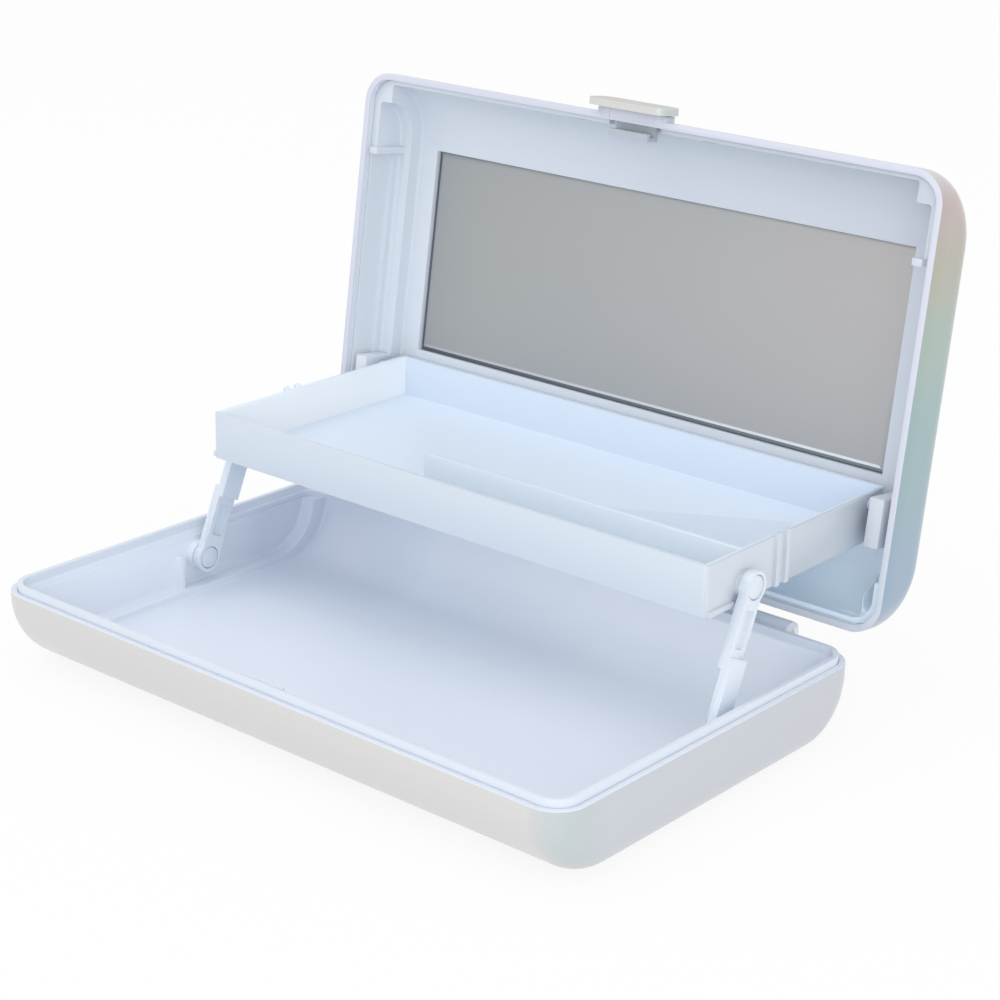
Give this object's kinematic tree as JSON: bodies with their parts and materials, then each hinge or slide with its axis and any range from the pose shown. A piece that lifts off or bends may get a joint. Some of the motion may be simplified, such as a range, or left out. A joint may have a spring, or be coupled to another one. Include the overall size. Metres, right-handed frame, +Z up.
{
  "type": "false eyelash case",
  "caption": "Rounded travel case with a hinged lid, a mirror in the lid and an inner tray that levers lift and carry back as the lid opens.",
  "frame": {"origin": "centre of the base's flat underside, under the middle of the case with the lid shut", "axes": "+Z up, +X along the case, +Y from the front rim with the button towards the hinge"},
  "size_m": [0.165, 0.1379, 0.1257],
  "materials": {
    "pearl_shell": "pearl white plastic with a soft blue-green sheen",
    "white_liner": "cool white moulded plastic, satin",
    "white_tray": "cool white moulded plastic, satin",
    "lever_plastic": "cool white moulded plastic, smooth",
    "pin_plastic": "cool white moulded plastic, smooth",
    "hinge_steel": "drawn steel rod",
    "mirror_glass": "silvered glass",
    "tape": "white foam tape, matte"
  },
  "bodies": {
    "base": {"base_shell": "pearl_shell", "base_liner": "white_liner", "base_catch": "white_liner", "hinge_pin": "hinge_steel", "base_pivot_pins": "pin_plastic"},
    "lid": {"lid_shell": "pearl_shell", "lid_liner": "white_liner", "lid_lugs": "white_liner", "lid_pivot_pins": "pin_plastic", "mirror_glass": "mirror_glass", "mirror_tape": "tape"},
    "latch": {"latch_button": "pearl_shell"},
    "left_lever": {"left_lever": "lever_plastic"},
    "right_lever": {"right_lever": "lever_plastic"},
    "tray": {"tray": "white_tray", "tray_pivot_pins": "pin_plastic"}
  },
  "joints": [
    {"name": "lid_hinge", "type": "hinge", "parent": "base", "child": "lid", "pos_m": [0, 0.0552, 0.0164], "axis": [1, 0, 0], "range_deg": [0, 97.4]},
    {"name": "left_lever_pivot", "type": "hinge", "parent": "base", "child": "left_lever", "pos_m": [0, 0.007, 0.0114], "axis": [1, 0, 0], "range_deg": [0, 97.4]},
    {"name": "right_lever_pivot", "type": "hinge", "parent": "base", "child": "right_lever", "pos_m": [0, 0.007, 0.0114], "axis": [1, 0, 0], "range_deg": [0, 97.4]},
    {"name": "tray_pivot", "type": "hinge", "parent": "left_lever", "child": "tray", "pos_m": [0, 0.02, 0.04173], "axis": [1, 0, 0], "range_deg": [-97.4, 0]},
    {"name": "latch_press", "type": "slide", "parent": "lid", "child": "latch", "axis": [0, -0.1288, -0.9917], "range_m": [0, 0.0014], "stiffness_N_per_m": 400}
  ],
  "couplings": [
    {"joint": "left_lever_pivot", "follows": "lid_hinge", "ratio": 1},
    {"joint": "right_lever_pivot", "follows": "lid_hinge", "ratio": 1},
    {"joint": "tray_pivot", "follows": "lid_hinge", "ratio": -1}
  ]
}
